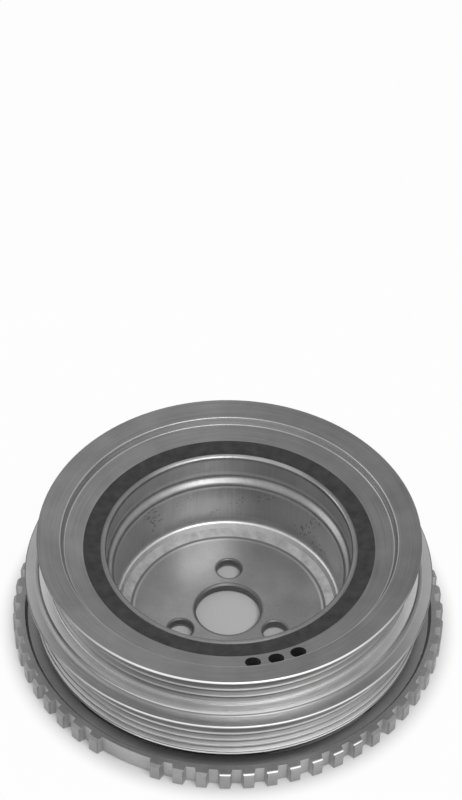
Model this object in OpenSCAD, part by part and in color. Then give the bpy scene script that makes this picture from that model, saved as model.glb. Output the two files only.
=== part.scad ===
// Harmonic balancer with a stepped ribbed pulley and a toothed trigger wheel.
// Millimetres. The origin is the centre of the bore on the flat back face that
// seats on the crankshaft, and +Z points to the front of the engine.

/* [Trigger wheel] */
// Diameter over the tips of the teeth
wheel_d = 164; // [158:0.5:176]
// Number of tooth places around the wheel
tooth_places = 60; // [36:1:72]
// Number of teeth left out of the ring for the timing gap
teeth_missing = 2; // [1:1:3]
// Direction of the middle of the timing gap, from +X
timing_angle = 243; // [0:0.5:360]
// Height of a tooth above the floor of the gaps
tooth_h = 2.8; // [2:0.1:3.6]
// Width of a tooth at its tip
tooth_tip_w = 3.6; // [2.8:0.1:4.2]
// Width of a tooth at its root
tooth_root_w = 5; // [4.3:0.1:5.6]
// Bevel on the tips of the teeth, front side
tip_bevel = 1; // [0.4:0.1:1.5]
// Bevel on the tips of the teeth, back side
back_bevel = 0.4; // [0.2:0.1:1]
// Thickness of the thickened rim
rim_t = 7.7; // [6.5:0.1:9]
// Height of the rim's back face above the seat face
rim_lift = 0.3; // [0.1:0.1:1]
// Radial width of the thickened rim at its back face
rim_w = 4.8; // [4:0.1:7]
// Radial width of the slope from the rim's back face to the plate
rim_slope_w = 2.2; // [1:0.1:3]
// Radial width of the thickened rim at its front face
rim_front_w = 4.5; // [4:0.1:7]
// Radial width of the step from the rim's front face to the plate
rim_step_w = 1.1; // [0.5:0.1:2.5]
// Thickness of the pressed plate
plate_t = 4.1; // [3:0.1:5]
// Depth by which the hub seat is pressed out of the plate
boss_step = 2.5; // [1.5:0.1:3.5]
// Radial width of the slope around the seat, on the back
boss_slope_w = 6.4; // [5:0.1:8]
// Radial width of the slope around the recess, on the front
recess_slope_w = 7.2; // [5.5:0.1:9]

/* [Windows in the plate] */
// Number of windows
window_count = 6; // [4:1:6]
// Angle that one window spans
window_span = 40; // [30:1:46]
// Radial width of the plate between the seat's slope and the windows
inner_land_w = 8.3; // [5:0.1:10]
// Radial width of the plate between the windows and the rim's slope
outer_land_w = 2.5; // [1.5:0.1:5]
// Radius of a window's inner corners
inner_corner_r = 9.5; // [4:0.5:10]
// Radius of a window's outer corners
outer_corner_r = 4.5; // [2:0.5:6]

/* [Crankshaft seat] */
// Diameter of the centre bore
bore_d = 24.9; // [20:0.1:28]
// Chamfer on the edges of the centre bore
bore_chamfer = 0.6; // [0.2:0.1:1]
// Diameter of the bolt circle
bolt_circle_d = 41.6; // [40:0.1:48]
// Diameter of a bolt hole
bolt_hole_d = 9.5; // [7:0.1:10.5]
// Number of bolt holes
bolt_count = 3; // [3:1:4]
// Direction of the first bolt hole, from +X
bolt_angle = 90; // [0:1:360]
// Diameter of the dowel hole
dowel_hole_d = 4; // [3:0.1:5]
// Direction of the dowel hole, from +X
dowel_angle = 270; // [0:1:360]
// Chamfer on the edges of the bolt and dowel holes
hole_chamfer = 0.4; // [0.2:0.1:0.8]

/* [Hub cup] */
// Height of the rounded lip above the seat face
hub_h = 40.5; // [38:0.1:43]
// Thickness of the drawn sheet
hub_t = 2.4; // [1.8:0.1:3]
// Height of the upper wall, from the top of the lip to the ledge
hub_upper_h = 9.2; // [7:0.1:12]
// Height of the ledge half-way down the cup
ledge_h = 4.6; // [3:0.1:6]
// Radial width of the ledge
ledge_w = 2.7; // [1:0.1:4]
// How far the recess slope reaches under the wall of the cup
foot_over_slope = 0.9; // [0.3:0.1:1.8]
// Radius of the weld fillet inside the foot of the cup
weld_r = 1.6; // [0.8:0.1:2.4]

/* [Rubber ring] */
// Thickness of the rubber between the cup and the pulley
rubber_t = 6.1; // [4:0.1:8]
// How far the rubber climbs the round of the lip
lip_cover_angle = 40; // [10:1:60]
// Depth of the hollow in the front face of the rubber
rubber_hollow = 0.6; // [0.2:0.1:1.2]
// Depth of the hollow in the back face of the rubber
rubber_back_hollow = 1.4; // [0.4:0.1:2]
// Distance from the back face of the pulley to the back of the rubber
rubber_inset = 5.6; // [4.5:0.1:8]

/* [Pulley ring] */
// Diameter over the flanges of the front belt track
front_track_d = 142.6; // [136:0.2:150]
// Height of the shoulder between the two belt tracks
shoulder_h = 5.2; // [3:0.1:7]
// Height of a flange above the crests of its belt track
flange_h = 3.3; // [2:0.1:4]
// Width of the edge of a flange
flange_edge_w = 0.9; // [0.7:0.1:1]
// Slope of the inner side of a flange
flange_slope = 20; // [10:1:30]
// Width of the plain crest between a flange and the first groove
flange_crest_w = 2.5; // [1:0.1:3.5]
// Number of grooves in the front belt track
front_grooves = 3; // [2:1:4]
// Number of grooves in the rear belt track
rear_grooves = 4; // [3:1:5]
// Distance between two grooves
rib_pitch = 3.56; // [3.4:0.01:3.7]
// Depth of a groove
groove_depth = 2.8; // [1.8:0.1:3]
// Angle between the two flanks of a groove
groove_angle = 40; // [36:1:42]
// Width of the flat crest between two grooves
crest_w = 0.7; // [0.5:0.05:1]
// Distance from the shoulder to the last groove of the front belt track
plain_band_w = 3.5; // [3.1:0.1:6]
// Height of the plain band's edge above the shoulder
band_edge_h = 1.9; // [1.8:0.1:2.4]
// Width of the band between the last groove and the back face
back_band_w = 1.7; // [1:0.1:3]
// Width of the fine relief cut between the last crest and the plain band
relief_w = 0.45; // [0.3:0.05:0.8]
// Depth of the fine relief cut between the last crest and the plain band
relief_depth = 0.5; // [0.2:0.05:1]
// Radius of the fillet at the foot of the shoulder
shoulder_fillet_r = 1.6; // [0.5:0.1:1.8]
// Chamfer on the outer edges of the pulley
edge_chamfer = 0.35; // [0.2:0.05:0.6]
// Gap between the plate and the back face of the pulley
ring_gap = 2.4; // [1.6:0.1:5]
// Radial thickness of the pulley between its front bore and front track
ring_wall = 17; // [15:0.1:19]
// Fall of the outer band of the front face, towards the bore
face_fall = 1.4; // [0.8:0.1:2.4]
// Radial width of the outer band of the front face
face_band_w = 8.7; // [6.5:0.1:9.5]
// Depth of the step in the front face
face_step = 2.7; // [1:0.1:3.5]
// Radial width of the wall of that step
face_step_w = 1.2; // [0.6:0.1:2]
// Radius of the rounds at the top and the foot of that step
step_round_r = 0.5; // [0.2:0.1:0.8]
// Fall of the inner band of the front face, towards the bore
inner_fall = 1.9; // [1:0.1:3]
// Distance from the front track to the groove in the back face
back_groove_in = 4.7; // [3:0.1:6]
// Width of the groove in the back face
back_groove_w = 1.3; // [0.8:0.1:2]
// Depth of the groove in the back face
back_groove_depth = 6; // [4:0.1:7]
// Depth of the inner band of the back face below the outer band
back_step = 3.4; // [2:0.1:3.8]
// Radial width of the slope from the inner back band to the rear bore
back_slope_w = 5.2; // [2:0.1:6]
// Height of that slope along the axis
back_slope_h = 1.6; // [0.8:0.1:2]

/* [Balance drillings] */
// Number of balance drillings
drilling_count = 3; // [1:1:5]
// Diameter of a balance drilling
drilling_d = 5.7; // [3:0.1:6]
// Depth of a balance drilling
drilling_depth = 7; // [3:0.5:9]
// Distance from the pulley's front bore to the centre of a drilling
drilling_in = 4; // [3.4:0.1:4.6]
// Direction of the first drilling, from +X
drilling_angle = 279; // [0:0.5:360]
// Angle between two drillings
drilling_pitch = 8.3; // [7:0.1:12]

/* [Hidden] */
$fn = 180;
over = 1;
drill_point_angle = 118;

// Heights of the plate
plate_back_z = boss_step;
plate_front_z = boss_step + plate_t;
rim_back_z = rim_lift;
rim_front_z = rim_lift + rim_t;

// Radii of the wheel
tip_r = wheel_d / 2;
root_r = tip_r - tooth_h;
rim_in_r = tip_r - rim_w;
plate_out_r = rim_in_r - rim_slope_w;
rim_front_in_r = tip_r - rim_front_w;

// Radii and heights of the pulley
track_r = front_track_d / 2;
rear_r = track_r + shoulder_h;
bore_top_r = track_r - ring_wall;
bore_low_r = bore_top_r - ledge_w;
groove_w = rib_pitch - crest_w;
groove_floor_w = groove_w - 2 * groove_depth * tan(groove_angle / 2);
flange_root_w = flange_edge_w + flange_h * tan(flange_slope);
front_crest_r = track_r - flange_h;
rear_crest_r = rear_r - flange_h;
ring_back_z = plate_front_z + ring_gap;
shoulder_z = ring_back_z + back_band_w + track_w(rear_grooves);
ring_front_z = shoulder_z + plain_band_w + track_w(front_grooves);
step_top_r = track_r - face_band_w;
step_top_z = ring_front_z - face_fall;
step_foot_r = step_top_r - face_step_w;
step_foot_z = step_top_z - face_step;
bore_edge_z = step_foot_z - inner_fall;
relief_top_z = shoulder_z + plain_band_w - crest_w;

// Radii and heights of the hub cup
cup_out_r = bore_top_r - rubber_t;
cup_in_r = cup_out_r - hub_t;
foot_in_r = cup_in_r - ledge_w;
foot_out_r = foot_in_r + hub_t;
ledge_top_z = hub_h - hub_upper_h;
ledge_low_z = ledge_top_z - ledge_h;
ledge_bend = 2 * atan(ledge_w / ledge_h);
ledge_drop = hub_t * tan(ledge_bend / 2);
lip_r = hub_t / 2;
lip_centre_r = cup_in_r + lip_r;
lip_centre_z = hub_h - lip_r;

// The seat is pressed out just inside the foot of the cup
recess_top_r = foot_in_r + foot_over_slope;
recess_floor_r = recess_top_r - recess_slope_w;
boss_foot_r = recess_top_r + plate_t * tan(atan(boss_step / boss_slope_w) / 2);
boss_r = boss_foot_r - boss_slope_w;
recess_rise = atan(boss_step / recess_slope_w);

// The windows fill the plate between the seat's slope and the rim
window_in_r = boss_foot_r + inner_land_w;
window_out_r = plate_out_r - outer_land_w;
window_h = window_out_r - window_in_r;
corner_in_r = min(inner_corner_r, window_h * 0.6);
corner_out_r = min(outer_corner_r, window_h * 0.35);

// Back of the rubber
rubber_back_z = ring_back_z + rubber_inset;

// Points on an arc about [cr, cz], from angle a0 to angle a1
function arc(cr, cz, r, a0, a1, steps) =
    [for (i = [0 : steps])
        let (a = a0 + (a1 - a0) * i / steps)
        [cr + r * cos(a), cz + r * sin(a)]];

// Points of the double bend of a ledge, from its top to its foot
function ledge_bend_points(r_top, z_top, steps) =
    let (r_bend = ledge_h / 2 / sin(ledge_bend))
    concat(
        arc(r_top - r_bend, z_top, r_bend, 0, -ledge_bend, steps),
        arc(r_top - ledge_w + r_bend, z_top - ledge_h, r_bend, 180 - ledge_bend, 180, steps));

// Points of a shallow hollow between two points, deepest in the middle
function hollow(p0, p1, depth, steps) =
    [for (i = [0 : steps])
        let (t = i / steps)
        [p0[0] + (p1[0] - p0[0]) * t,
         p0[1] + (p1[1] - p0[1]) * t + depth * 4 * t * (1 - t)]];

// The same points in the other direction
function reversed(points) = [for (i = [len(points) - 1 : -1 : 0]) points[i]];

// Points of a round in the corner b of the line from a over b to c
function corner_round(a, b, c, r, steps) =
    let (
        u = (a - b) / norm(a - b),
        v = (c - b) / norm(c - b),
        half = acos(u * v) / 2,
        centre = b + (u + v) / norm(u + v) * r / sin(half),
        start = b + u * r / tan(half) - centre,
        turn = sign(u[1] * v[0] - u[0] * v[1]) * (180 - 2 * half),
        a0 = atan2(start[1], start[0]))
    arc(centre[0], centre[1], r, a0, a0 + turn, steps);

// Distance from the face of a flange to the end of the last groove
function track_w(grooves) = flange_root_w + flange_crest_w + grooves * rib_pitch - crest_w;

// Outline of one belt groove whose middle is at height z
function groove_points(r, z) = [
    [r, z + groove_w / 2],
    [r - groove_depth, z + groove_floor_w / 2],
    [r - groove_depth, z - groove_floor_w / 2],
    [r, z - groove_w / 2]];

// Outline of a belt track: the flange whose face is at height z, then its grooves
function track_points(flange_r, z, grooves) =
    let (
        crest_r = flange_r - flange_h,
        first_z = z - flange_root_w - flange_crest_w - groove_w / 2)
    concat(
        [[flange_r - edge_chamfer, z],
         [flange_r, z - edge_chamfer],
         [flange_r, z - flange_edge_w],
         [crest_r, z - flange_root_w]],
        [for (i = [0 : grooves - 1], p = groove_points(crest_r, first_z - i * rib_pitch)) p]);

// Outer side of the hub cup, from the round of the lip down to its foot
cup_outside = ledge_bend_points(cup_out_r, ledge_top_z - ledge_drop, 6);

// Bore of the pulley, from its front edge to its back
ring_bore = ledge_bend_points(bore_top_r, ledge_top_z - ledge_drop, 6);

// A round hole down through the plate, with both edges chamfered
module chamfered_hole(d, chamfer, z0, z1) {
    translate([0, 0, z0 - over])
        cylinder(h = z1 - z0 + 2 * over, d = d);
    translate([0, 0, z0 - over])
        cylinder(h = over + chamfer, r1 = d / 2 + chamfer + over, r2 = d / 2);
    translate([0, 0, z1 - chamfer])
        cylinder(h = over + chamfer, r1 = d / 2, r2 = d / 2 + chamfer + over);
}

// Section of the plate from the bore to the tips of the teeth
module wheel_blank() {
    rotate_extrude()
        polygon([
            [0, 0],
            [boss_r, 0],
            [boss_foot_r, plate_back_z],
            [plate_out_r, plate_back_z],
            [rim_in_r, rim_back_z],
            [tip_r - back_bevel, rim_back_z],
            [tip_r, rim_back_z + back_bevel],
            [tip_r, rim_front_z - tip_bevel],
            [tip_r - tip_bevel, rim_front_z],
            [rim_front_in_r, rim_front_z],
            [rim_front_in_r - rim_step_w, plate_front_z],
            [recess_top_r, plate_front_z],
            [recess_floor_r, plate_t],
            [0, plate_t]]);
}

// Width of a tooth at the distance x from the wheel's axis
function tooth_w(x) =
    tooth_root_w + (tooth_tip_w - tooth_root_w) * (x - root_r) / tooth_h;

// Outline of one gap between two teeth whose middles lie at -half and half:
// a flank, the floor on the root circle, and the other flank
function gap_points(half, steps) =
    let (
        x_out = tip_r + over,
        flank = tooth_w(x_out) / 2,
        side = [x_out * cos(half) + flank * sin(half), flank * cos(half) - x_out * sin(half)],
        floor_a = half - asin(tooth_root_w / 2 / root_r))
    concat([side], arc(0, 0, root_r, -floor_a, floor_a, steps), [[side[0], -side[1]]]);

// The gaps between the teeth, with the wide timing gap among them
module tooth_gaps() {
    pitch = 360 / tooth_places;
    timing_half = (teeth_missing + 1) * pitch / 2;
    height = rim_front_z + 2 * over;
    rotate([0, 0, timing_angle])
        translate([0, 0, -over])
            linear_extrude(height)
                polygon(gap_points(timing_half, 10));
    for (i = [1 : tooth_places - teeth_missing - 1])
        rotate([0, 0, timing_angle + timing_half + (i - 0.5) * pitch])
            translate([0, 0, -over])
                linear_extrude(height)
                    polygon(gap_points(pitch / 2, 2));
}

// Outline of one window: two arcs, two straight sides and four round corners
function window_points() =
    let (
        half = window_span / 2,
        in_c = window_in_r + corner_in_r,
        out_c = window_out_r - corner_out_r,
        in_a = half - asin(corner_in_r / in_c),
        out_a = half - asin(corner_out_r / out_c))
    concat(
        arc(0, 0, window_in_r, -in_a, in_a, 10),
        arc(in_c * cos(in_a), in_c * sin(in_a), corner_in_r, in_a + 180, half + 90, 8),
        arc(out_c * cos(out_a), out_c * sin(out_a), corner_out_r, half + 90, out_a, 8),
        arc(0, 0, window_out_r, out_a, -out_a, 14),
        arc(out_c * cos(out_a), -out_c * sin(out_a), corner_out_r, -out_a, -half - 90, 8),
        arc(in_c * cos(in_a), -in_c * sin(in_a), corner_in_r, -half - 90, -in_a - 180, 8));

module windows() {
    for (i = [0 : window_count - 1])
        rotate([0, 0, i * 360 / window_count])
            translate([0, 0, -over])
                linear_extrude(rim_front_z + 2 * over)
                    polygon(window_points());
}

module crank_seat_holes() {
    chamfered_hole(bore_d, bore_chamfer, 0, plate_t);
    for (i = [0 : bolt_count - 1])
        rotate([0, 0, bolt_angle + i * 360 / bolt_count])
            translate([bolt_circle_d / 2, 0, 0])
                chamfered_hole(bolt_hole_d, hole_chamfer, 0, plate_t);
    rotate([0, 0, dowel_angle])
        translate([bolt_circle_d / 2, 0, 0])
            chamfered_hole(dowel_hole_d, hole_chamfer, 0, plate_t);
}

module trigger_wheel() {
    color("#9b9c9e")
        difference() {
            wheel_blank();
            tooth_gaps();
            windows();
            crank_seat_holes();
        }
}

// Drawn sleeve with a rounded lip and a ledge, welded down inside its foot
module hub_cup() {
    corner_z = plate_t + (foot_in_r - recess_floor_r) * tan(recess_rise);
    toe = weld_r / tan((90 - recess_rise) / 2);
    toe_r = foot_in_r - toe * cos(recess_rise);
    toe_z = corner_z - toe * sin(recess_rise);
    color("#a5a6a8")
        rotate_extrude()
            polygon(concat(
                [[foot_out_r, plate_front_z]],
                [[recess_top_r, plate_front_z]],
                [[toe_r, toe_z]],
                arc(foot_in_r - weld_r, corner_z + toe, weld_r, recess_rise - 90, 0, 6),
                reversed(ledge_bend_points(cup_in_r, ledge_top_z, 6)),
                arc(lip_centre_r, lip_centre_z, lip_r, 180, 0, 14),
                cup_outside));
}

// Rubber moulded between the cup and the bore of the pulley
module rubber_ring() {
    lip_edge = arc(lip_centre_r, lip_centre_z, lip_r, lip_cover_angle, 0, 4);
    color("#3c3c3d")
        rotate_extrude()
            polygon(concat(
                lip_edge,
                cup_outside,
                hollow([foot_out_r, rubber_back_z], [bore_low_r, rubber_back_z], rubber_back_hollow, 8),
                reversed(ring_bore),
                hollow([bore_top_r, bore_edge_z], lip_edge[0], -rubber_hollow, 8)));
}

// Section of the pulley ring, front face first
module pulley_section() {
    back_groove_r = track_r - back_groove_in;
    back_inner_z = ring_back_z + back_step;
    bore_edge = [bore_top_r, bore_edge_z];
    step_foot = [step_foot_r, step_foot_z];
    step_top = [step_top_r, step_top_z];
    front_edge = [track_r, ring_front_z];
    polygon(concat(
        [bore_edge],
        corner_round(bore_edge, step_foot, step_top, step_round_r, 4),
        corner_round(step_foot, step_top, front_edge, step_round_r, 4),
        track_points(track_r, ring_front_z, front_grooves),
        [[front_crest_r, relief_top_z],
         [front_crest_r - relief_depth, relief_top_z - relief_w / 2],
         [front_crest_r, relief_top_z - relief_w],
         [track_r, shoulder_z + band_edge_h]],
        arc(track_r + shoulder_fillet_r, shoulder_z + shoulder_fillet_r, shoulder_fillet_r, 180, 270, 6),
        track_points(rear_r, shoulder_z, rear_grooves),
        [[rear_crest_r, ring_back_z + edge_chamfer],
         [rear_crest_r - edge_chamfer, ring_back_z],
         [back_groove_r, ring_back_z],
         [back_groove_r, ring_back_z + back_groove_depth],
         [back_groove_r - back_groove_w, ring_back_z + back_groove_depth],
         [back_groove_r - back_groove_w, back_inner_z],
         [bore_low_r + back_slope_w, back_inner_z],
         [bore_low_r, back_inner_z + back_slope_h]],
        reversed(ring_bore)));
}

module balance_drilling() {
    cylinder(h = drilling_depth + over + inner_fall, d = drilling_d);
    point_h = drilling_d / 2 / tan(drill_point_angle / 2);
    translate([0, 0, -point_h])
        cylinder(h = point_h, r1 = 0, r2 = drilling_d / 2);
}

module pulley_ring() {
    drilling_r = bore_top_r + drilling_in;
    color("#77797c")
        difference() {
            rotate_extrude()
                pulley_section();
            for (i = [0 : drilling_count - 1])
                rotate([0, 0, drilling_angle + i * drilling_pitch])
                    translate([drilling_r, 0, step_foot_z - drilling_depth])
                        balance_drilling();
        }
}

trigger_wheel();
hub_cup();
rubber_ring();
pulley_ring();
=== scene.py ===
# Harmonic balancer: turned pulley ring, rubber, drawn cup and stamped trigger wheel
import math

import bpy
from mathutils import Matrix, Vector

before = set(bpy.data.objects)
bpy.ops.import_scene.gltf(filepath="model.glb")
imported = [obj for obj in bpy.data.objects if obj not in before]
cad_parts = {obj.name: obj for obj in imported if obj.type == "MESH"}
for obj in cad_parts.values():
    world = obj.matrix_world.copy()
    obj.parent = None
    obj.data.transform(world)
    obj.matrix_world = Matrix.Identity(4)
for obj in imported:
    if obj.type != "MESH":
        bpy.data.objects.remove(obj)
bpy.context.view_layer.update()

MM = 0.001

# Places on the part, in millimetres and degrees, as the source gives them
RING_FRONT_Z = 46.92
RING_BACK_Z = 9.0
SHOULDER_Z = 28.84
FRONT_EDGE_R = 71.3
FRONT_CREST_R = 68.0
REAR_EDGE_R = 76.5
REAR_CREST_R = 73.2
STEP_FOOT_R = 61.4
STEP_TOP_R = 62.6
LIP_Z = 40.5
LEDGE_LOW_Z = 26.7
LEDGE_TOP_Z = 31.3
RECESS_IN_R = 36.8
FOOT_IN_R = 43.1
PLATE_FRONT_Z = 6.6
WEB_FRONT_Z = 4.1
RIM_FRONT_Z = 8.0
RIM_STEP_R = 76.4
TIP_R = 82.0
BORE_R = 12.45
BOLT_CIRCLE_R = 20.8
BOLT_HOLE_R = 4.75
BOLT_TURNS = (90, 210, 330)

# Limits of the finishes, in millimetres, chosen around those places
TRACK_R = 64.0
FLANGE_FOOT_Z = 44.6
FRONT_CRESTS_Z = (31.6, 40.4)
PLAIN_BAND_Z = (30.64, 31.4)
PLAIN_EDGE_Z = (29.8, 30.9)
REAR_CRESTS_Z = (15.6, 22.2)
LOW_CRESTS_Z = (10.5, 15.4)
STEP_LOW_Z = 42.4
LIP_CROWN_R = 47.3
CUP_FOOT_Z = 8.4

# Past the part on every side, in millimetres
FAR = 200.0

# How far a face looks up: 1 straight to the front, 0 sideways as on walls, -1 straight to the back
PAST_BACK = -2.0
ON_WALLS = (-0.55, 0.55)

# Roughness of the metals: renders with some of it at 0.25 showed speckles, and with 0.29 up none
SMOOTHEST = 0.29
RUBBED = 0.32
PUNCHED = 0.5
ROLLED = 0.56

# Noise is stretched so that these two values become 0 and 1
NOISE_LOW = 0.3
NOISE_HIGH = 0.7

# Sides of the part, as turns about its axis, that look paler or darker in the photograph
# Painted highlight lies on the first, second and last of these sides, painted shadow and shade on the other
# two
PAINTED_HIGHLIGHT_SIDE = (math.radians(-115), math.radians(-54))
PAINTED_HIGHLIGHT_TEETH = (math.radians(-92), math.radians(-54))
PAINTED_SHADOW_PLATE_SIDE = (math.radians(-109), math.radians(-69))
PAINTED_SHADE_WALL_SIDE = (math.radians(74), math.radians(106))
PAINTED_HIGHLIGHT_LIP_SIDE = (math.radians(63), math.radians(117))


# Colours and nodes
def linear(hex_colour):
    values = []
    for i in (1, 3, 5):
        c = int(hex_colour[i:i + 2], 16) / 255
        values.append(c / 12.92 if c <= 0.04045 else ((c + 0.055) / 1.055) ** 2.4)
    return (*values, 1.0)


def add(tree, kind, inputs=(), **settings):
    """Adds a node, sets its properties, and sets or links its inputs by name or number."""
    node = tree.nodes.new(kind)
    for name, value in settings.items():
        setattr(node, name, value)
    for name, value in dict(inputs).items():
        if isinstance(value, bpy.types.NodeSocket):
            tree.links.new(value, node.inputs[name])
        else:
            node.inputs[name].default_value = value
    return node


def new_finish(name):
    material = bpy.data.materials.new(name)
    material.use_nodes = True
    tree = material.node_tree
    tree.nodes.clear()
    shader = add(tree, "ShaderNodeBsdfPrincipled")
    add(tree, "ShaderNodeOutputMaterial", {"Surface": shader.outputs[0]})
    return material, tree, shader


def turned_place(tree):
    """The shaded point's place about the axis, in millimetres and radians, and how far it looks up."""
    where = add(tree, "ShaderNodeTexCoord").outputs["Object"]
    scaled = add(tree, "ShaderNodeVectorMath", {0: where, "Scale": 1 / MM}, operation="SCALE").outputs[0]
    split = add(tree, "ShaderNodeSeparateXYZ", {0: scaled}).outputs
    flat = add(tree, "ShaderNodeCombineXYZ", {0: split[0], 1: split[1]}).outputs[0]
    radius = add(tree, "ShaderNodeVectorMath", {0: flat}, operation="LENGTH").outputs["Value"]
    turn = add(tree, "ShaderNodeMath", {0: split[1], 1: split[0]}, operation="ARCTAN2").outputs[0]
    facing = add(tree, "ShaderNodeNewGeometry").outputs["True Normal"]
    upward = add(tree, "ShaderNodeSeparateXYZ", {0: facing}).outputs[2]
    return {"point": scaled, "x": split[0], "r": radius, "turn": turn, "z": split[2], "upward": upward}


def zone(tree, soft, *limits, within=1.0):
    """Gives within where each value lies between its low and high, falling to 0 over soft."""
    share = within
    for value, low, high in limits:
        rise = {0: value, 1: low - soft, 2: low, 3: 0.0, 4: share}
        above = add(tree, "ShaderNodeMapRange", rise).outputs[0]
        fall = {0: value, 1: high, 2: high + soft, 3: above, 4: 0.0}
        share = add(tree, "ShaderNodeMapRange", fall).outputs[0]
    return share


def mottle(tree, place, size, detail=3.0):
    """Noise from about 0 to 1, with its largest patches about as wide as size in millimetres."""
    noise = {"Vector": place, "Scale": 1 / size, "Detail": detail}
    raw = add(tree, "ShaderNodeTexNoise", noise).outputs[0]
    return add(tree, "ShaderNodeMapRange", {0: raw, 1: NOISE_LOW, 2: NOISE_HIGH}).outputs[0]


def lay(tree, rows):
    """Lays finishes over one another, each as its share, tone, dark and light colour, and roughness."""
    colour = rough = None
    for share, tone, dark, light, row_rough in rows:
        greys = {0: tone, 6: linear(dark), 7: linear(light)}
        top = add(tree, "ShaderNodeMix", greys, data_type="RGBA").outputs[2]
        if colour is None:
            colour, rough = top, row_rough
            continue
        colour = add(tree, "ShaderNodeMix", {0: share, 6: colour, 7: top}, data_type="RGBA").outputs[2]
        rough = add(tree, "ShaderNodeMix", {0: share, 2: rough, 3: row_rough}).outputs[0]
    return colour, rough


def dress(tree, shader, rows, height, strength, depth_mm, metal=1.0, flat_share=0.0):
    """Sets colour, roughness, metal and relief; flat_share leaves out the smoothing between faces."""
    colour, rough = lay(tree, rows)
    tree.links.new(colour, shader.inputs["Base Color"])
    tree.links.new(rough, shader.inputs["Roughness"])
    shader.inputs["Metallic"].default_value = metal
    face = add(tree, "ShaderNodeNewGeometry").outputs
    smooth_or_flat = {0: flat_share, 4: face["Normal"], 5: face["True Normal"]}
    normal = add(tree, "ShaderNodeMix", smooth_or_flat, data_type="VECTOR").outputs[1]
    bump = add(tree, "ShaderNodeBump", {
        "Height": height, "Strength": strength, "Distance": depth_mm * MM, "Normal": normal})
    tree.links.new(bump.outputs[0], shader.inputs["Normal"])


# Camera, from the perspective of the photograph's lower view; angles are in radians
PHOTO_H = 800
SENSOR = 36.0
FOCAL_PX = 2267.209
CAMERA_RISE = 0.821837
CAMERA_DISTANCE = 840.5 * MM
CAMERA_AIM_UP = 0.058435
CAMERA_AIM_SIDE = -0.000496
CAMERA_ROLL = 0.017471


def place_camera():
    data = bpy.data.cameras.new("studio_camera")
    data.sensor_width = SENSOR
    data.lens = FOCAL_PX * SENSOR / PHOTO_H
    data.clip_start = 0.01
    data.clip_end = 50.0
    camera = bpy.data.objects.new("studio_camera", data)
    bpy.context.scene.collection.objects.link(camera)
    dip = CAMERA_RISE - CAMERA_AIM_UP
    side = CAMERA_AIM_SIDE
    forward = Vector((math.sin(side) * math.cos(dip), math.cos(side) * math.cos(dip), -math.sin(dip)))
    right = Vector((math.cos(side), -math.sin(side), 0.0))
    up = right.cross(forward)
    turned_right = right * math.cos(CAMERA_ROLL) + up * math.sin(CAMERA_ROLL)
    turned_up = -right * math.sin(CAMERA_ROLL) + up * math.cos(CAMERA_ROLL)
    axes = Matrix((turned_right, turned_up, -forward)).transposed()
    spot = Vector((
        0.0,
        -CAMERA_DISTANCE * math.cos(CAMERA_RISE),
        RING_FRONT_Z * MM + CAMERA_DISTANCE * math.sin(CAMERA_RISE)))
    camera.matrix_world = Matrix.Translation(spot) @ axes.to_4x4()
    bpy.context.scene.camera = camera
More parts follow.
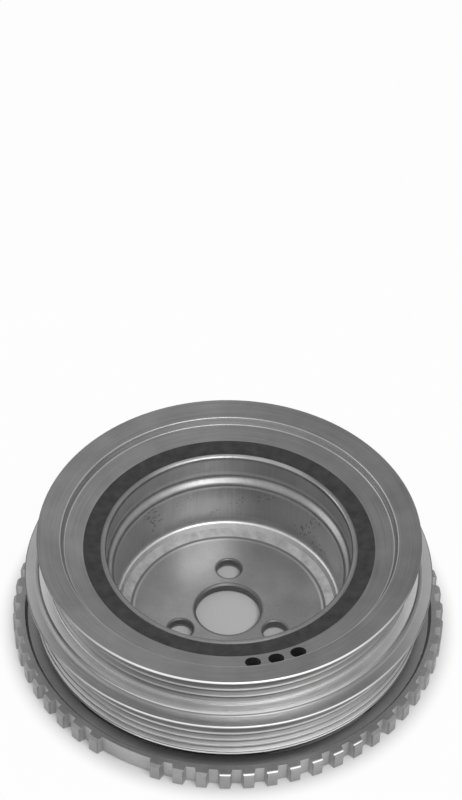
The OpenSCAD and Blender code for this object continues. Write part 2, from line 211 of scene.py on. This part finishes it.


# Turned grey iron: dull faces with fine tool rings, lighter walls partly from belt polish and partly as
# painted light, painted highlights on the corners
def turned_grey_iron():
    material, tree, shader = new_finish("turned_grey_iron")
    at = turned_place(tree)
    r, z, turn, upward = at["r"], at["z"], at["turn"], at["upward"]
    # Tool rings of a fine cut are 0.1 to 0.2 mm apart; drawn about 0.6 mm apart to show
    ring_place = add(tree, "ShaderNodeCombineXYZ", {0: r, 1: z, 2: turn}).outputs[0]
    rings = mottle(tree, ring_place, size=0.625)
    clouds = mottle(tree, at["point"], size=16.7, detail=4.0)
    tone = add(tree, "ShaderNodeMix", {0: 0.55, 2: rings, 3: clouds}).outputs[0]
    turned = add(tree, "ShaderNodeMapRange", {0: rings, 3: 0.34, 4: 0.48}).outputs[0]

    # Painted shade: the iron is darker towards its right side, where x grows
    painted_shade_right_side = zone(tree, 70.0, (at["x"], 60.0, FAR))
    # Painted light: the narrow step in the front face is lightened
    painted_light_face_step = zone(tree, 0.2, (r, STEP_FOOT_R - 0.2, STEP_TOP_R + 0.2), (z, STEP_LOW_Z, FAR))
    # The tracks, flange and rear are lighter than the front face: partly belt polish in the grooves, partly
    # painted light for the brighter surroundings they face
    tracks = zone(tree, 0.3, (r, TRACK_R, FAR), (z, -FAR, FLANGE_FOOT_Z))
    flange = zone(tree, 0.15, (r, FRONT_EDGE_R - 0.3, FAR), (z, FLANGE_FOOT_Z - 1.0, FAR))
    rear = zone(tree, 0.3, (r, TRACK_R, FAR), (z, -FAR, SHOULDER_Z - 0.8))
    # Painted light: the rear of the ring is lighter towards its back edge on the side facing the front lamp
    painted_light_rear_side = zone(tree, 0.7, (turn, *PAINTED_HIGHLIGHT_SIDE), within=rear)
    painted_light_rear_low = zone(tree, 10.0, (z, -FAR, 10.0), within=painted_light_rear_side)
    # Painted light: faces that look down in the belt tracks are lightened where shade falls
    painted_light_undersides = zone(tree, 0.3, (upward, PAST_BACK, -0.6), (r, TRACK_R, FAR))
    plain_band = zone(tree, 0.2, (r, FRONT_CREST_R - 0.5, FAR), (z, *PLAIN_BAND_Z))
    shoulder = zone(tree, 0.25, (r, FRONT_EDGE_R + 1.4, FAR), (z, SHOULDER_Z - 0.2, SHOULDER_Z + 0.5))
    fillet_z = (SHOULDER_Z + 0.2, PLAIN_EDGE_Z[0] - 0.3)
    # Painted shade: the concave fillet above the shoulder is darkened
    painted_shade_fillet = zone(tree, 0.15, (r, FRONT_EDGE_R, FRONT_EDGE_R + 1.2), (z, *fillet_z))
    rows = [
        (1.0, tone, "#6c6c6c", "#868686", turned),
        (painted_shade_right_side, tone, "#606060", "#7a7a7a", turned),
        (painted_light_face_step, tone, "#8e8e8e", "#a5a5a5", turned),
        (tracks, tone, "#888888", "#9c9c9c", turned),
        (flange, tone, "#888888", "#9c9c9c", turned),
        (rear, tone, "#888888", "#9e9e9e", turned),
        (painted_light_rear_low, tone, "#b6b6b6", "#c4c4c4", turned),
        (painted_light_undersides, tone, "#cccccc", "#d6d6d6", turned),
        (plain_band, tone, "#b5b5b5", "#c9c9c9", turned),
        (shoulder, tone, "#9a9a9a", "#acacac", turned),
        (painted_shade_fillet, tone, "#747474", "#848484", turned),
    ]
    # Each corner's inner radius and height, its two greys of painted highlight on the side facing the front
    # lamp, and its roughness there
    corners = (
        (FRONT_EDGE_R - 0.35, (RING_FRONT_Z - 0.6, FAR), "#e2e2e2", "#ececec", RUBBED),
        (FRONT_CREST_R - 0.2, FRONT_CRESTS_Z, "#bababa", "#c6c6c6", RUBBED),
        (FRONT_EDGE_R - 0.3, PLAIN_EDGE_Z, "#f2f2f2", "#fafafa", 0.3),
        (REAR_EDGE_R - 0.35, (SHOULDER_Z - 0.35, SHOULDER_Z + 1.0), "#dcdcdc", "#e6e6e6", RUBBED),
        (REAR_CREST_R - 0.2, REAR_CRESTS_Z, "#cacaca", "#d6d6d6", RUBBED),
        (REAR_CREST_R - 0.2, LOW_CRESTS_Z, "#eeeeee", "#f8f8f8", RUBBED),
        (REAR_CREST_R - 0.4, (RING_BACK_Z, RING_BACK_Z + 1.1), "#f8f8f8", "#fcfcfc", 0.8),
    )
    for low_r, span_z, dark, light, rough in corners:
        corner_painted_shade = zone(tree, 0.1, (r, low_r, low_r + 0.8), (z, *span_z))
        corner_painted_highlight = zone(tree, 0.6, (turn, *PAINTED_HIGHLIGHT_SIDE), within=corner_painted_shade)
        # Painted shade on the corners all round, then a painted highlight on the side facing the front lamp
        rows.append((corner_painted_shade, tone, "#606060", "#6a6a6a", SMOOTHEST))
        rows.append((corner_painted_highlight, tone, dark, light, rough))
    dress(tree, shader, rows, height=rings, strength=0.25, depth_mm=0.05)
    return material


# Deep-drawn mild steel: satin sheet with fine marks down the wall, dull where it was bent last
def drawn_mild_steel():
    material, tree, shader = new_finish("drawn_mild_steel")
    at = turned_place(tree)
    r, z, turn = at["r"], at["z"], at["turn"]
    # The die's marks are about 1 mm wide around the wall and about 17 mm long down it
    wall_r = 46.0
    squeeze = 0.06
    around = add(tree, "ShaderNodeMath", {0: turn, 1: wall_r}, operation="MULTIPLY").outputs[0]
    down = add(tree, "ShaderNodeMath", {0: z, 1: squeeze}, operation="MULTIPLY").outputs[0]
    marks_place = add(tree, "ShaderNodeCombineXYZ", {0: around, 1: down, 2: r}).outputs[0]
    marks = mottle(tree, marks_place, size=1.0, detail=4.0)
    clouds = mottle(tree, at["point"], size=12.5, detail=5.0)
    tone = add(tree, "ShaderNodeMix", {0: 0.6, 2: marks, 3: clouds}).outputs[0]
    satin = add(tree, "ShaderNodeMapRange", {0: clouds, 3: SMOOTHEST, 4: 0.37}).outputs[0]

    # Painted light on the bends above and below the ledge, painted shade on its middle
    painted_light_bend = zone(tree, 1.0, (z, LEDGE_LOW_Z - 0.4, LEDGE_TOP_Z + 0.6))
    painted_shade_ledge = zone(tree, 0.6, (z, LEDGE_LOW_Z + 0.8, LEDGE_TOP_Z - 0.8))
    low_wall = zone(tree, 1.0, (z, CUP_FOOT_Z + 3.0, LEDGE_LOW_Z - 1.0))
    # Painted shade: the lower wall is darker on its far side
    darker_share = zone(tree, 0.35, (turn, *PAINTED_SHADE_WALL_SIDE), within=low_wall)
    # Painted highlight: the foot of the wall is lighter
    painted_highlight_foot = zone(tree, 1.6, (z, -FAR, CUP_FOOT_Z))
    lip = zone(tree, 0.5, (z, LIP_Z - 1.4, FAR))
    crown = zone(tree, 0.4, (r, LIP_CROWN_R, FAR), within=lip)
    # Painted highlight: the lip is lighter on its far side
    painted_highlight_lip = zone(tree, 0.3, (turn, *PAINTED_HIGHLIGHT_LIP_SIDE), within=lip)
    # Pits are about 0.5 mm wide and gather in a few patches of the wall
    specks = mottle(tree, at["point"], size=1.1, detail=0.0)
    patches = mottle(tree, at["point"], size=9.0, detail=1.0)
    pits = zone(tree, 0.08, (specks, -FAR, 0.07), (patches, 0.74, FAR), within=low_wall)
    rows = (
        (1.0, tone, "#a2a2a2", "#b9b9b9", satin),
        (painted_light_bend, tone, "#c0c0c0", "#d0d0d0", 0.42),
        (painted_shade_ledge, tone, "#7c7c7c", "#8e8e8e", 0.38),
        (darker_share, tone, "#8c8c8c", "#a2a2a2", satin),
        (painted_highlight_foot, tone, "#b2b2b2", "#c6c6c6", 0.4),
        (pits, tone, "#7c7c7c", "#8a8a8a", 0.45),
        (lip, tone, "#6e6e6e", "#808080", SMOOTHEST),
        (crown, tone, "#6a6a6a", "#7c7c7c", 0.62),
        (painted_highlight_lip, tone, "#969696", "#a6a6a6", 0.3),
    )
    dress(tree, shader, rows, height=marks, strength=0.2, depth_mm=0.08)
    return material


# Pressed steel plate: dull rolled faces, paler where the punch sheared it, darker on one side of the dish,
# painted shadow under the pulley, painted highlights on the teeth
def pressed_steel_plate():
    material, tree, shader = new_finish("pressed_steel_plate")
    at = turned_place(tree)
    r, z, turn, upward = at["r"], at["z"], at["turn"], at["upward"]
    # The grain of rolled plate is about 0.1 mm wide; drawn about 0.7 mm wide to show
    grain = mottle(tree, at["point"], size=0.7)
    clouds = mottle(tree, at["point"], size=14.3, detail=5.0)
    scuffs = mottle(tree, at["point"], size=3.3, detail=6.0)
    tone = add(tree, "ShaderNodeMix", {0: 0.7, 2: grain, 3: clouds}).outputs[0]
    dished = add(tree, "ShaderNodeMapRange", {0: grain, 3: 0.36, 4: 0.46}).outputs[0]
    # The dish is palest towards 115 degrees, and darker on the other side
    to_darker = (0.42, -0.91, 0.0)
    lean = add(tree, "ShaderNodeVectorMath", {0: at["point"], 1: to_darker}, operation="DOT_PRODUCT")
    darker_share = zone(tree, 44.0, (lean.outputs["Value"], 14.0, FAR))
    dish_darkness = add(tree, "ShaderNodeMix", {0: 0.38, 2: darker_share, 3: clouds}).outputs[0]
    dish_darkness = add(tree, "ShaderNodeMapRange", {0: dish_darkness, 1: 0.15, 2: 0.85}).outputs[0]
    dish_darkness = add(tree, "ShaderNodeMix", {0: 0.12, 2: dish_darkness, 3: grain}).outputs[0]

    slope = zone(tree, 0.5, (r, RECESS_IN_R + 0.9, FOOT_IN_R + 1.0))
    # Painted highlight in a thin line inside the recess, and painted shade in the crease at its foot
    painted_highlight_line = zone(tree, 0.4, (r, RECESS_IN_R - 0.8, RECESS_IN_R - 0.5))
    painted_shade_crease = zone(tree, 0.3, (r, RECESS_IN_R + 0.1, RECESS_IN_R + 0.6))
    outer = zone(tree, 2.0, (r, FOOT_IN_R + 2.0, FAR))
    # Painted shadow: the plate is darker under the pulley ring
    painted_shadow_under_pulley = zone(tree, 3.4, (r, 0.0, RIM_STEP_R - 3.4), within=outer)
    up_to_rim = zone(tree, 3.4, (r, 0.0, RIM_STEP_R - 2.0), within=outer)
    # Painted shadow: the plate is darker still around the turn of -90 degrees
    painted_shadow_side = zone(tree, 0.4, (turn, *PAINTED_SHADOW_PLATE_SIDE), within=up_to_rim)
    rim_top = zone(tree, 0.3, (z, PLATE_FRONT_Z + 0.5, FAR), within=outer)
    back = zone(tree, 0.3, (upward, PAST_BACK, -0.7))
    walls = zone(tree, 0.15, (upward, *ON_WALLS))
    sheared = zone(tree, 1.0, (r, RECESS_IN_R - 2.0, FAR), within=walls)
    tips = zone(tree, 0.2, (r, TIP_R - 0.7, FAR))
    tip_faces = zone(tree, 0.15, (upward, *ON_WALLS), within=tips)
    tip_edges = zone(tree, 0.1, (z, RIM_FRONT_Z - 0.5, FAR), within=tips)
    # Painted highlight: the top edges of the teeth are near white on the side facing the front lamp
    painted_highlight_tips = zone(tree, 0.04, (turn, *PAINTED_HIGHLIGHT_TEETH), within=tip_edges)
    rows = [
        (1.0, dish_darkness, "#a4a4a4", "#7e7e7e", dished),
        (slope, scuffs, "#969696", "#b5b5b5", dished),
        (painted_highlight_line, tone, "#b2b2b2", "#b8b8b8", dished),
        (painted_shade_crease, tone, "#686868", "#6e6e6e", dished),
        (outer, tone, "#848484", "#989898", ROLLED),
        (painted_shadow_under_pulley, tone, "#7e7e7e", "#868686", ROLLED),
        (painted_shadow_side, tone, "#606060", "#686868", ROLLED),
        (rim_top, tone, "#7c7c7c", "#949494", ROLLED),
        (back, tone, "#8a8a8a", "#9c9c9c", PUNCHED),
        (sheared, tone, "#a8a8a8", "#c4c4c4", ROLLED),
        (tip_faces, tone, "#959595", "#aeaeae", ROLLED),
        (painted_highlight_tips, tone, "#f4f4f4", "#f8f8f8", SMOOTHEST),
    ]
    holes = [zone(tree, 0.3, (r, 0.0, BORE_R + 1.0))]
    for degrees in BOLT_TURNS:
        side = math.radians(degrees)
        middle = (BOLT_CIRCLE_R * math.cos(side), BOLT_CIRCLE_R * math.sin(side), WEB_FRONT_Z)
        to_middle = {0: at["point"], 1: middle}
        away = add(tree, "ShaderNodeVectorMath", to_middle, operation="DISTANCE").outputs["Value"]
        holes.append(zone(tree, 0.3, (away, 0.0, BOLT_HOLE_R + 0.7)))
    rows += [(hole, tone, "#656565", "#7c7c7c", PUNCHED) for hole in holes]
    # The teeth are shaded face by face, so that their small corners stay crisp
    teeth = zone(tree, 0.2, (r, RIM_STEP_R + 0.4, FAR))
    dress(tree, shader, rows, height=grain, strength=0.15, depth_mm=0.08, flat_share=teeth)
    return material


# Moulded black rubber: matt, greyed a little by dust
def moulded_rubber():
    material, tree, shader = new_finish("moulded_rubber")
    at = turned_place(tree)
    dust = mottle(tree, at["point"], size=4.0, detail=5.0)
    # Real pores are finer than the render can show; drawn about 0.5 mm wide
    pores = mottle(tree, at["point"], size=0.45, detail=2.0)
    matt = add(tree, "ShaderNodeMapRange", {0: pores, 3: 0.75, 4: 0.85}).outputs[0]
    shader.inputs["Specular IOR Level"].default_value = 0.25
    rows = [(1.0, dust, "#2a2a2a", "#3b3b3b", matt)]
    dress(tree, shader, rows, height=pores, strength=0.2, depth_mm=0.1, metal=0.0)
    return material


FINISHES = {
    "pulley_ring": turned_grey_iron(),
    "hub_cup": drawn_mild_steel(),
    "trigger_wheel": pressed_steel_plate(),
    "rubber_ring": moulded_rubber(),
}
for name, finish in FINISHES.items():
    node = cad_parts[name]
    for holder in node.material_slots:
        holder.material = finish


# Floor and studio, with lengths in metres
FLOOR_HALF = 6.0
ROOM_LIGHT = 0.55
LAMP_AIM = (0.0, 0.0, 0.02)

# The floor fades to plain white between these distances from the axis, in millimetres
FLOOR_CLEAR_R = (76.0, 89.0)
FLOOR_WHITE_SHARE = 0.97


def seen_directly(tree):
    """1 for camera, glossy and transmission rays, which show the pale surroundings as they are."""
    path = add(tree, "ShaderNodeLightPath").outputs
    seen = add(tree, "ShaderNodeMath", {
        0: path["Is Camera Ray"], 1: path["Is Glossy Ray"]}, operation="MAXIMUM").outputs[0]
    return add(tree, "ShaderNodeMath", {
        0: seen, 1: path["Is Transmission Ray"]}, operation="MAXIMUM").outputs[0]


def pale_floor():
    mesh = bpy.data.meshes.new("studio_floor")
    corners = [(x * FLOOR_HALF, y * FLOOR_HALF, 0) for x, y in ((-1, -1), (1, -1), (1, 1), (-1, 1))]
    mesh.from_pydata(corners, [], [(0, 1, 2, 3)])
    floor = bpy.data.objects.new("studio_floor", mesh)
    bpy.context.scene.collection.objects.link(floor)
    material = bpy.data.materials.new("white_paper")
    material.use_nodes = True
    tree = material.node_tree
    tree.nodes.clear()
    paper = add(tree, "ShaderNodeBsdfDiffuse", {"Color": linear("#b8b8b8")}).outputs[0]
    white = add(tree, "ShaderNodeEmission", {"Color": (1, 1, 1, 1), "Strength": 1.0}).outputs[0]
    near_r, far_r = FLOOR_CLEAR_R
    fade = {0: turned_place(tree)["r"], 1: near_r, 2: far_r, 3: 0.0, 4: FLOOR_WHITE_SHARE}
    clear = add(tree, "ShaderNodeMapRange", fade, interpolation_type="SMOOTHSTEP").outputs[0]
    share = add(tree, "ShaderNodeMath", {0: seen_directly(tree), 1: clear}, operation="MULTIPLY").outputs[0]
    mixed = add(tree, "ShaderNodeMixShader", {0: share, 1: paper, 2: white}).outputs[0]
    add(tree, "ShaderNodeOutputMaterial", {"Surface": mixed})
    mesh.materials.append(material)


def white_room():
    world = bpy.data.worlds.new("white_room")
    bpy.context.scene.world = world
    world.use_nodes = True
    tree = world.node_tree
    tree.nodes.clear()
    light = add(tree, "ShaderNodeBackground", {"Color": (1, 1, 1, 1), "Strength": ROOM_LIGHT}).outputs[0]
    white = add(tree, "ShaderNodeBackground", {"Color": (1, 1, 1, 1), "Strength": 1.0}).outputs[0]
    mixed = add(tree, "ShaderNodeMixShader", {0: seen_directly(tree), 1: light, 2: white}).outputs[0]
    add(tree, "ShaderNodeOutputWorld", {"Surface": mixed})


def softbox(name, spot, size, watts):
    data = bpy.data.lights.new(name, "AREA")
    data.shape = "RECTANGLE"
    data.size, data.size_y = size
    data.energy = watts
    lamp = bpy.data.objects.new(name, data)
    bpy.context.scene.collection.objects.link(lamp)
    spot = Vector(spot)
    lamp.location = spot
    lamp.rotation_mode = "QUATERNION"
    lamp.rotation_quaternion = (Vector(LAMP_AIM) - spot).to_track_quat("-Z", "Y")


pale_floor()
white_room()
softbox("softbox_front", spot=(0.232, -0.476, 0.848), size=(0.48, 0.18), watts=5.0)
softbox("softbox_left", spot=(-0.9, 0.2, 0.6), size=(0.4, 0.6), watts=2.0)
place_camera()

bpy.context.scene.view_settings.view_transform = "Standard"
